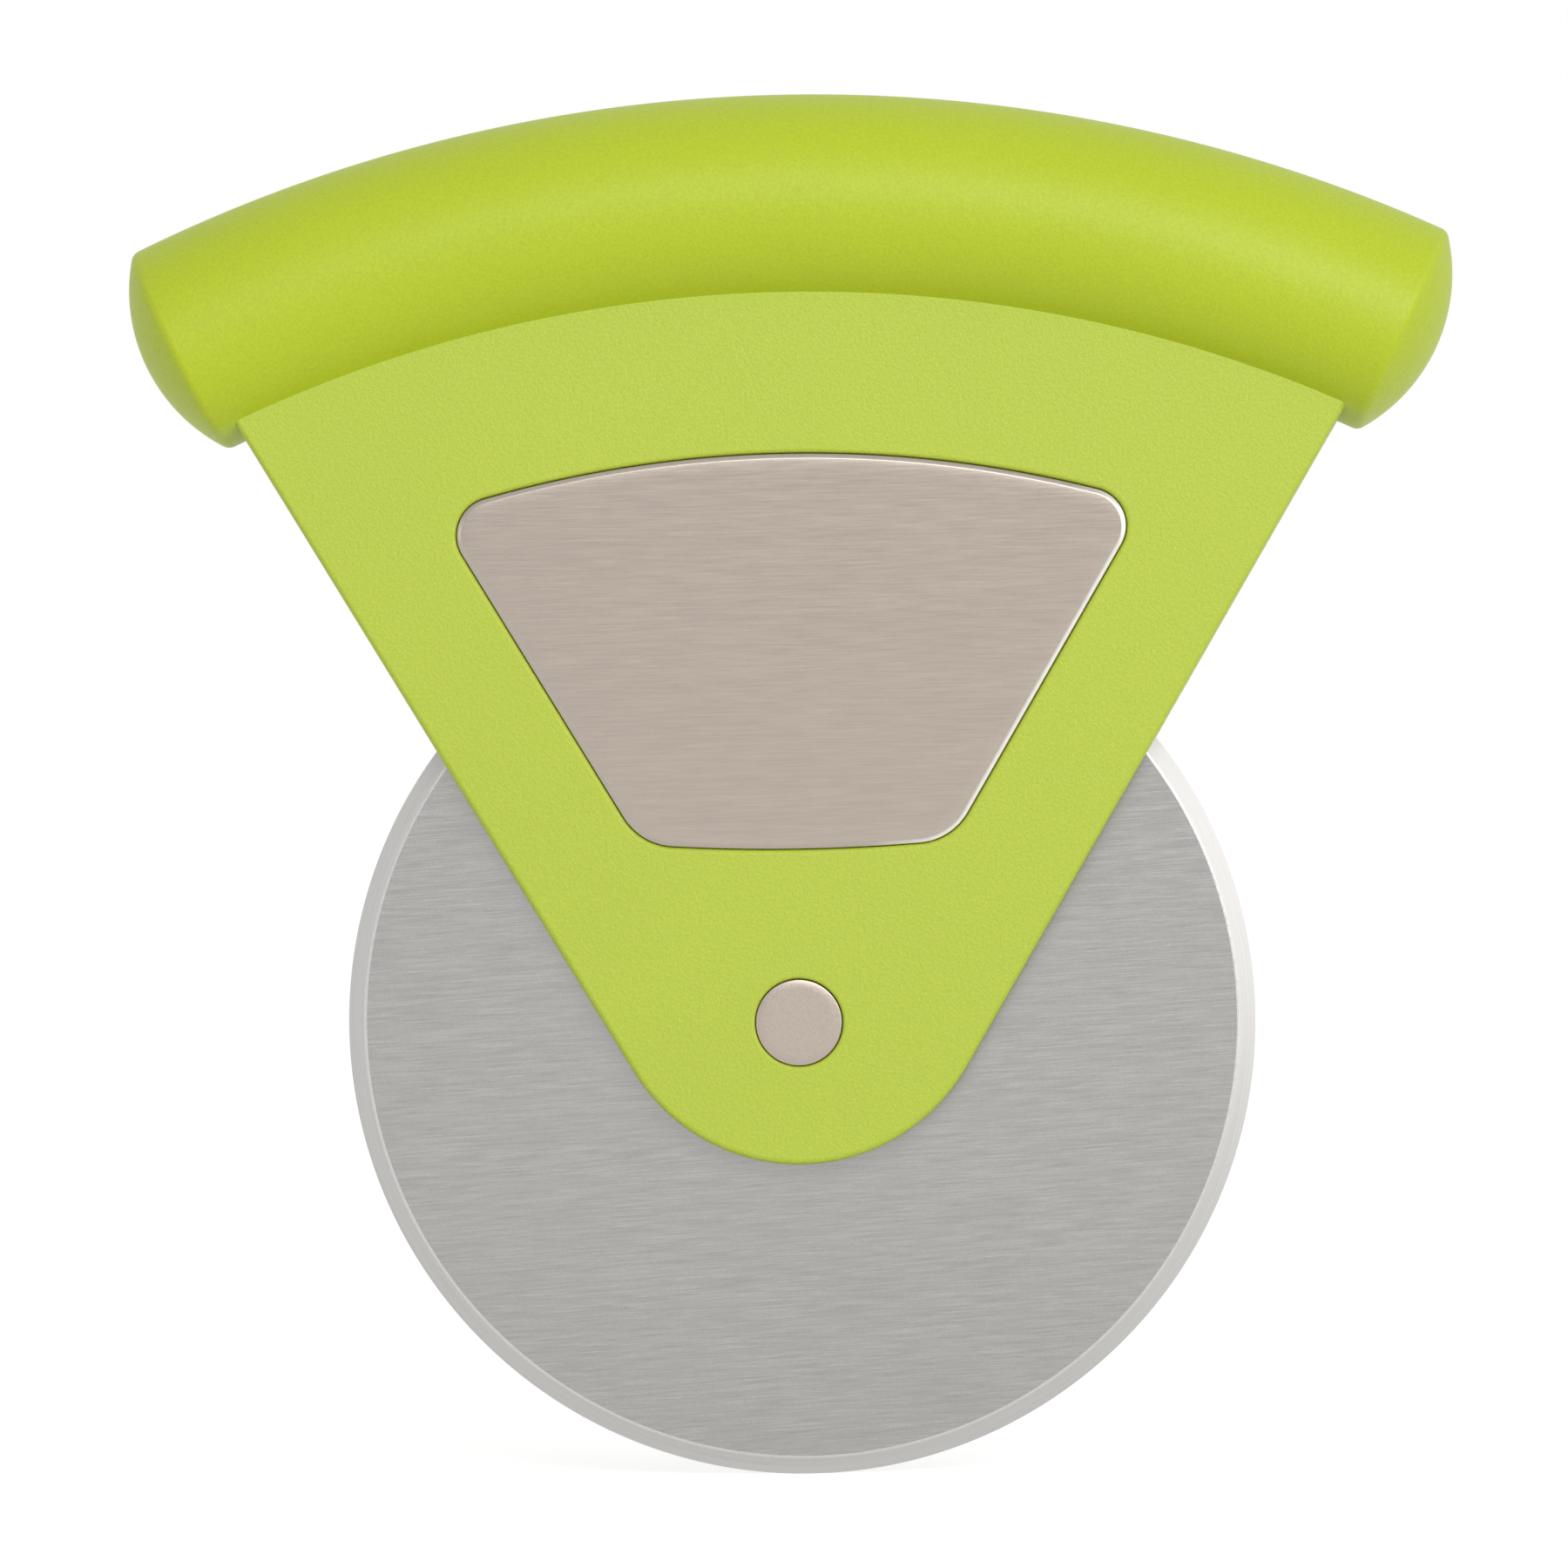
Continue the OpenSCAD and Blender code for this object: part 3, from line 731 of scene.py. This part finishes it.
def plastic_material(f, s):
    """Green plastic with a spark-eroded grain, coarser on the slice than on the grip; the slice is
    paler, partly from its grain and partly from a painted sheen of the front light.
    """
    n = Nodes("grained_green_plastic")
    coordinates = n.add("TexCoord").outputs["Object"]
    crease_r = crease_radius(s)
    fade = 0.1 * MM
    from_arc = n.radius(coordinates, AXLE_Z - s.arc_drop)
    on_slice = n.span(from_arc, crease_r - fade, crease_r + fade, 1, 0)

    grain = n.noise(coordinates, 4300, 2.0, 0.5)
    speckle = n.noise(coordinates, 2600, 2.0, 0.5)
    cloud = n.noise(coordinates, 60, 3.0, 0.5)
    height = n.math("ADD", n.math("MULTIPLY", grain, 0.6), n.math("MULTIPLY", speckle, 0.4))
    depth = n.span(on_slice, 0, 1, 0.45, 1)
    bump = n.add("Bump", {
        "Height": n.math("MULTIPLY", height, depth), "Strength": 1.0, "Distance": 0.08 * MM})
    n.set(n.shader, "Normal", bump.outputs["Normal"])

    # The slice's paler tint is partly painted sheen: it stands in for the front light's gloss on
    # its flat faces
    base = n.blend(on_slice, f.grip_plastic, f.slice_plastic_and_painted_sheen)
    clouded = n.blend(n.span(cloud, 0.3, 0.7, 0, 1), base, n.scale(base, 0.975))
    dotted = n.blend(
        n.span(grain, 0.35, 0.65, 0, 1), n.scale(clouded, 0.955), n.scale(clouded, 1.045))
    n.set(n.shader, "Base Color", dotted)
    n.set(n.shader, "Roughness", n.span(speckle, 0.3, 0.7, 0.44, 0.52))
    n.shader.inputs["IOR"].default_value = 1.5
    n.shader.inputs["Specular IOR Level"].default_value = 0.6
    return n.material


def brushed_material(name, rgb, rough, lines, tilt):
    """Steel brushed along X, a little tilted: fine streaks and pits in tint, gloss and height.

    Lines is the share by which the streaks are darker and lighter than the tint."""
    n = Nodes(name)
    coordinates = n.add("TexCoord").outputs["Object"]
    turned = n.add("Mapping", {
        "Vector": coordinates, "Rotation": (0, math.radians(tilt), 0)}).outputs["Vector"]
    hair = n.streaks(turned, (300, 700, 9500), 3.0)
    pit = n.noise(coordinates, 5200, 3.0, 0.6)
    band = n.streaks(turned, (40, 80, 900), 2.0)
    both = n.math("ADD", n.math("MULTIPLY", hair, 0.7), n.math("MULTIPLY", pit, 0.3))
    fine = n.vary(n.span(both, 0.36, 0.64, 0, 1), rgb, lines)
    soft = n.blend(n.span(band, 0.3, 0.7, 0, 1), n.scale(fine, 0.988), n.scale(fine, 1.012))
    n.set(n.shader, "Base Color", soft)
    n.set(n.shader, "Roughness", n.span(both, 0.36, 0.64, rough - 0.03, rough + 0.03))
    bump = n.add("Bump", {"Height": both, "Strength": 0.08, "Distance": 0.006 * MM})
    n.set(n.shader, "Normal", bump.outputs["Normal"])
    n.shader.inputs["Metallic"].default_value = 1.0
    return n.material


def rim_material(f, s, p):
    """The coined rim of the plates, with a painted highlight: its outer slope is tinted bright
    along the right side of the slice.
    """
    n = Nodes("coined_rim_steel")
    coordinates = n.add("TexCoord").outputs["Object"]
    out = side_out(s)
    across = n.add("VectorMath", {0: coordinates, 1: (out.x, 0, out.y)}, operation="DOT_PRODUCT")
    plate_edge = s.nose_r - p.margin + out.y * (AXLE_Z + s.nose_rise)
    fade_from = plate_edge - 6 * MM
    fade_to = plate_edge - 1 * MM
    # Painted highlight: fades in towards the slice's right side, where the key light would catch
    # the rim
    on_right = n.span(across.outputs["Value"], fade_from, fade_to, 0, 1)
    flat_y = -PLATE_LOW.y
    slope_y = flat_y - 0.10 * MM
    crest_y = flat_y - 0.025 * MM
    from_seam = n.math("ABSOLUTE", n.add("SeparateXYZ", {0: coordinates}).outputs["Y"], 0)
    on_slope = n.span(from_seam, slope_y, crest_y, 1, 0)
    # Painted highlight: bright on the outer part of the coined slope, fading inward and towards the
    # left
    highlit = n.math("MULTIPLY", on_right, on_slope)
    grain = n.noise(coordinates, 2500, 3.0, 0.6)
    tint = n.blend(highlit, f.rim, f.painted_rim_highlight)
    n.set(n.shader, "Base Color", n.blend(
        n.span(grain, 0.3, 0.7, 0, 1), n.scale(tint, 0.97), n.scale(tint, 1.03)))
    n.set(n.shader, "Roughness", n.span(grain, 0.3, 0.7, 0.26, 0.32))
    bump = n.add("Bump", {"Height": grain, "Strength": 0.05, "Distance": 0.01 * MM})
    n.set(n.shader, "Normal", bump.outputs["Normal"])
    n.shader.inputs["Metallic"].default_value = 1.0
    return n.material


def ground_bevel_material(f):
    """The ground bevel: fine grinding lines that run round the axle."""
    n = Nodes("ground_bevel_steel")
    coordinates = n.add("TexCoord").outputs["Object"]
    arm = n.around(coordinates, AXLE_Z)
    direction = n.add("VectorMath", {0: arm}, operation="NORMALIZE").outputs[0]
    distance = n.math("MULTIPLY", n.radius(coordinates, AXLE_Z), 9000.0)
    rings = n.add("CombineXYZ", {"Y": distance}).outputs[0]
    turning = n.add("VectorMath", {0: direction, 1: rings}, operation="ADD").outputs[0]
    lines = n.noise(turning, 1.5, 3.0, 0.6)
    n.set(n.shader, "Base Color", n.vary(n.span(lines, 0.3, 0.7, 0, 1), f.bevel, 0.09))
    n.set(n.shader, "Roughness", n.span(lines, 0.3, 0.7, 0.46, 0.56))
    bump = n.add("Bump", {"Height": lines, "Strength": 0.12, "Distance": 0.02 * MM})
    n.set(n.shader, "Normal", bump.outputs["Normal"])
    n.shader.inputs["Metallic"].default_value = 1.0
    return n.material


def fine_grained_material(name, rgb, rough, metallic, grain_scale, variation, relief):
    """A satin, turned or moulded finish with a fine grain, for the small parts."""
    n = Nodes(name)
    coordinates = n.add("TexCoord").outputs["Object"]
    grain = n.noise(coordinates, grain_scale, 3.0, 0.6)
    n.set(n.shader, "Base Color", n.vary(n.span(grain, 0.3, 0.7, 0, 1), rgb, variation))
    n.set(n.shader, "Roughness", n.span(grain, 0.3, 0.7, rough - 0.05, rough + 0.05))
    bump = n.add("Bump", {"Height": grain, "Strength": relief, "Distance": 0.03 * MM})
    n.set(n.shader, "Normal", bump.outputs["Normal"])
    n.shader.inputs["Metallic"].default_value = metallic
    return n.material


# Operators


class CUTTER_OT_handle(bpy.types.Operator):
    """Model the two halves of the moulded handle"""

    bl_idname = "cutter.handle"
    bl_label = "Handle Halves"

    def execute(self, context):
        settings = context.scene.pizza_cutter
        s = settings.handle
        material = plastic_material(settings.finish, s)
        halves = model_halves(s, settings.plate, settings.wheel)
        for (name, half), node in zip(halves.items(), ("front_shell", "rear_shell")):
            shade(half)
            hand_over(half, material, "handle", "handle_plastic", node)
        return {"FINISHED"}


class CUTTER_OT_plates(bpy.types.Operator):
    """Press the two inset plates"""

    bl_idname = "cutter.plates"
    bl_label = "Inset Plates"

    def execute(self, context):
        settings = context.scene.pizza_cutter
        p = settings.plate
        seat = PLATE_HIGH.y
        rim_low_y = PLATE_LOW.y + sum(depth for width, depth in rim_rings(p))
        plate = plate_outline("front_inset_plate", settings.handle, p, 0, seat)
        thicken(plate, rim_low_y - seat)
        select_where(plate, "FACE", lambda face: near(face.center.y, rim_low_y)
                     and abs(face.normal.y) > FACING)
        for width, depth in rim_rings(p):
            bpy.ops.mesh.inset(thickness=width, depth=depth)
        select_where(plate, "FACE", lambda face: near(face.center.y, seat))
        bpy.ops.mesh.delete(type="FACE")
        bpy.ops.object.mode_set(mode="OBJECT")
        pick(plate)
        wall = plate.modifiers.new("Sheet", "SOLIDIFY")
        wall.thickness = p.sheet_t
        wall.offset = -1
        wall.use_even_offset = True
        bpy.ops.object.modifier_apply(modifier=wall.name)
        rear = mirror_copy(plate, "rear_inset_plate")
        material = brushed_material(
            "brushed_plate_steel", settings.finish.plate, 0.24, 0.05, 0.6)
        rim_steel = rim_material(settings.finish, settings.handle, p)
        for piece, node in ((plate, "front_plate"), (rear, "rear_plate")):
            shade(piece, 20)
            hand_over(piece, material, "handle", "plate_steel", node)
            second_finish(piece, rim_steel, lambda face: abs(face.center.y) > -rim_low_y
                          and abs(face.normal.y) < math.cos(RIM_LEAST_TILT))
        return {"FINISHED"}


class CUTTER_OT_wheel(bpy.types.Operator):
    """Model the bevelled wheel"""

    bl_idname = "cutter.wheel"
    bl_label = "Cutting Wheel"

    def execute(self, context):
        settings = context.scene.pizza_cutter
        w = settings.wheel
        ridge_r = WHEEL_R - w.bevel_w
        wheel = add_disc("pizza_wheel", WHEEL_R, -w.edge_t / 2, w.edge_t / 2, vertices=360)
        bpy.ops.object.mode_set(mode="EDIT")
        for side in (-1, 1):
            select_where(wheel, "FACE", lambda face: face.normal.y * side > FACING)
            bpy.ops.mesh.inset(thickness=w.bevel_w, depth=WHEEL_HIGH.y - w.edge_t / 2)
            bpy.ops.mesh.inset(thickness=ridge_r - w.bore_r, depth=0)
        select_where(wheel, "FACE", lambda face: len(face.vertices) > 4)
        bpy.ops.mesh.delete(type="ONLY_FACE")
        select_where(wheel, "EDGE", edge_test(
            wheel, lambda co: from_axle(co) < w.bore_r + WALL_SLACK))
        bpy.ops.mesh.bridge_edge_loops()
        select_where(wheel, "EDGE", edge_test(
            wheel, lambda co: abs(from_axle(co) - ridge_r) < WALL_SLACK))
        bpy.ops.mesh.bevel(offset=w.ridge_w / 2, segments=2, profile=0.5, affect="EDGES")
        bpy.ops.mesh.select_all(action="SELECT")
        bpy.ops.mesh.normals_make_consistent(inside=False)
        bpy.ops.object.mode_set(mode="OBJECT")
        shade(wheel, 15)
        face_steel = brushed_material(
            "brushed_wheel_steel", settings.finish.wheel, 0.25, 0.11, 3.0)
        hand_over(wheel, face_steel, "wheel", "wheel_steel", "cutting_wheel")
        wheel.data.materials.append(ground_bevel_material(settings.finish))
        wheel.data.materials.append(fine_grained_material(
            "polished_ridge_steel", settings.finish.ridge, 0.30, 1.0, 3000, 0.03, 0.05))
        for face in wheel.data.polygons:
            past_ridge = from_axle(face.center) - ridge_r
            if abs(past_ridge) < w.ridge_w / 2:
                face.material_index = 2
            elif past_ridge > 0:
                face.material_index = 1
        return {"FINISHED"}


class CUTTER_OT_rivet(bpy.types.Operator):
    """Model the two halves of the axle rivet"""

    bl_idname = "cutter.rivet"
    bl_label = "Axle Rivet"

    def execute(self, context):
        settings = context.scene.pizza_cutter
        w = settings.wheel
        head_r = RIVET_HIGH.x
        face_y = -RIVET_LOW.y
        seat_y = face_y - w.head_t
        material = fine_grained_material(
            "satin_rivet_steel", settings.finish.rivet, 0.28, 1.0, 6000, 0.012, 0.02)
        tube_end = -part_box("rivet_socket")[0].y
        for name, side, node in (("rivet_pin_head", -1, "rivet_pin"),
                                 ("rivet_tube_head", 1, "rivet_socket")):
            rim_y = face_y - w.crown_h
            head = add_disc(name, head_r, side * seat_y, side * rim_y, vertices=128)
            bpy.ops.object.mode_set(mode="EDIT")
            select_where(head, "EDGE", edge_test(head, lambda co: near(co.y, side * rim_y)))
            bpy.ops.mesh.bevel(offset=w.head_round, segments=5, profile=0.5, affect="EDGES")
            select_where(head, "FACE", lambda face: near(face.center.y, side * rim_y))
            bpy.ops.mesh.inset(thickness=w.crown_w, depth=w.crown_h)
            bpy.ops.mesh.inset(thickness=w.crown_w, depth=0)
            select_where(head, "FACE", lambda face: near(face.center.y, side * seat_y))
            if side < 0:
                bpy.ops.mesh.inset(thickness=head_r - w.core_r, depth=0)
                bpy.ops.mesh.extrude_region_move(
                    TRANSFORM_OT_translate={"value": (0, RIVET_HIGH.y + seat_y, 0)})
            else:
                bpy.ops.mesh.inset(thickness=head_r - w.tube_r, depth=0)
                bpy.ops.mesh.extrude_region_move(
                    TRANSFORM_OT_translate={"value": (0, -tube_end - seat_y, 0)})
                bpy.ops.mesh.inset(thickness=w.tube_r - w.core_r - w.core_gap, depth=0)
                bpy.ops.mesh.extrude_region_move(
                    TRANSFORM_OT_translate={"value": (0, tube_end + seat_y, 0)})
            bpy.ops.object.mode_set(mode="OBJECT")
            shade(head)
            hand_over(head, material, "handle", "rivet_steel", node)
        return {"FINISHED"}


class CUTTER_OT_fittings(bpy.types.Operator):
    """Finish the inner fittings that stay as the frame has them"""

    bl_idname = "cutter.fittings"
    bl_label = "Inner Fittings"

    def execute(self, context):
        f = context.scene.pizza_cutter.finish
        finishes = (
            ("turned_steel", ("axle_sleeve", "shell_screws"), f.turned_steel, 0.3, 1.0, 2500),
            ("turned_brass", ("wheel_bush",), f.turned_brass, 0.3, 1.0, 2500),
            ("white_nylon", ("front_washer", "rear_washer"), f.nylon, 0.5, 0.0, 1500),
            ("foam_tape", ("front_plate_pad", "rear_plate_pad"), f.foam, 0.85, 0.0, 3500),
        )
        for name, nodes, rgb, rough, metallic, grain_scale in finishes:
            material = fine_grained_material(name, rgb, rough, metallic, grain_scale, 0.05, 0.15)
            for node in nodes:
                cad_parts[node].material_slots[0].material = material
        return {"FINISHED"}


def background_rays(tree):
    """1 for the rays that should meet a white background: camera, glossy and transmission."""
    path = tree.nodes.new("ShaderNodeLightPath")
    value = path.outputs["Is Camera Ray"]
    for name in ("Is Glossy Ray", "Is Transmission Ray"):
        larger = tree.nodes.new("ShaderNodeMath")
        larger.operation = "MAXIMUM"
        tree.links.new(value, larger.inputs[0])
        tree.links.new(path.outputs[name], larger.inputs[1])
        value = larger.outputs[0]
    return value


def build_floor(c):
    """A round pale floor under the wheel, white to the camera except for the shadow."""
    clear_selection()
    bpy.ops.mesh.primitive_circle_add(vertices=64, radius=c.floor_size / 2, fill_type="NGON")
    floor = bpy.context.object
    floor.name = "floor"
    material = bpy.data.materials.new("pale_floor")
    material.use_nodes = True
    tree = material.node_tree
    tree.nodes.clear()
    output = tree.nodes.new("ShaderNodeOutputMaterial")
    both = tree.nodes.new("ShaderNodeAddShader")
    matt = tree.nodes.new("ShaderNodeBsdfDiffuse")
    matt.inputs["Color"].default_value = (*c.floor_colour, 1)
    glow = tree.nodes.new("ShaderNodeEmission")
    strength = tree.nodes.new("ShaderNodeMath")
    strength.operation = "MULTIPLY"
    strength.inputs[1].default_value = c.floor_glow
    tree.links.new(background_rays(tree), strength.inputs[0])
    tree.links.new(strength.outputs[0], glow.inputs["Strength"])
    tree.links.new(matt.outputs[0], both.inputs[0])
    tree.links.new(glow.outputs[0], both.inputs[1])
    tree.links.new(both.outputs[0], output.inputs["Surface"])
    floor.data.materials.append(material)


def build_world(c):
    """White for the camera and for reflections, a little softer as light."""
    world = bpy.data.worlds.new("studio")
    bpy.context.scene.world = world
    world.use_nodes = True
    tree = world.node_tree
    background = tree.nodes["Background"]
    background.inputs["Color"].default_value = (1, 1, 1, 1)
    strength = tree.nodes.new("ShaderNodeMapRange")
    strength.inputs["To Min"].default_value = c.world_light
    strength.inputs["To Max"].default_value = 1.0
    tree.links.new(background_rays(tree), strength.inputs["Value"])
    tree.links.new(strength.outputs["Result"], background.inputs["Strength"])


def add_softbox(name, direction, distance, width, height, brightness):
    """A rectangular lamp that faces the object; a brightness of 1 is the white of the world."""
    lamp = bpy.data.lights.new(name, "AREA")
    lamp.shape = "RECTANGLE"
    lamp.size = width
    lamp.size_y = height
    lamp.energy = brightness * math.pi * width * height
    softbox = bpy.data.objects.new(name, lamp)
    bpy.context.scene.collection.objects.link(softbox)
    outward = Vector(direction).normalized()
    softbox.location = Vector((0, 0, AIM_Z)) + outward * distance
    softbox.rotation_euler = outward.to_track_quat("Z", "Y").to_euler()
    softbox.visible_camera = False


def build_camera(c):
    """The camera at the place that the view was worked out for."""
    turn = (Matrix.Rotation(c.roll, 3, "Y") @ Matrix.Rotation(c.pitch, 3, "X")
            @ Matrix.Rotation(c.yaw, 3, "Z"))
    right, ahead, up = turn
    data = bpy.data.cameras.new("camera")
    data.lens = c.focal_length
    data.sensor_width = 36
    data.clip_start = 0.01
    data.clip_end = 20
    camera = bpy.data.objects.new("camera", data)
    bpy.context.scene.collection.objects.link(camera)
    camera.matrix_world = Matrix.LocRotScale(
        Vector((c.camera_x, -c.camera_distance, c.camera_z)),
        Matrix((right, up, -ahead)).transposed(), None)
    bpy.context.scene.camera = camera


class CUTTER_OT_stage(bpy.types.Operator):
    """Set up the floor, the light and the camera"""

    bl_idname = "cutter.stage"
    bl_label = "Floor, Light and Camera"

    def execute(self, context):
        c = context.scene.pizza_cutter.stage
        context.scene.view_settings.view_transform = "Standard"
        build_floor(c)
        build_world(c)
        for softbox in SOFTBOXES:
            add_softbox(*softbox)
        build_camera(c)
        return {"FINISHED"}


class CUTTER_PT_panel(bpy.types.Panel):
    """Lists the pieces of the pizza cutter"""

    bl_idname = "CUTTER_PT_panel"
    bl_label = "Pizza Cutter"
    bl_space_type = "VIEW_3D"
    bl_region_type = "UI"
    bl_category = "Pizza Cutter"

    def draw(self, context):
        for operator in OPERATORS:
            self.layout.operator(operator.bl_idname)
        settings = context.scene.pizza_cutter
        for name, group in GROUPS.items():
            box = self.layout.box()
            box.label(text=group.__doc__)
            for key in group.__annotations__:
                box.prop(getattr(settings, name), key)


OPERATORS = (
    CUTTER_OT_handle, CUTTER_OT_plates, CUTTER_OT_wheel, CUTTER_OT_rivet, CUTTER_OT_fittings,
    CUTTER_OT_stage,
)
CLASSES = (*GROUPS.values(), CutterSettings, *OPERATORS, CUTTER_PT_panel)


def register():
    for cls in CLASSES:
        bpy.utils.register_class(cls)
    bpy.types.Scene.pizza_cutter = bpy.props.PointerProperty(type=CutterSettings)


def unregister():
    del bpy.types.Scene.pizza_cutter
    for cls in reversed(CLASSES):
        bpy.utils.unregister_class(cls)


def main():
    register()
    for operator in OPERATORS:
        group, name = operator.bl_idname.split(".")
        getattr(getattr(bpy.ops, group), name)()
    clear_selection()


if __name__ == "__main__":
    main()
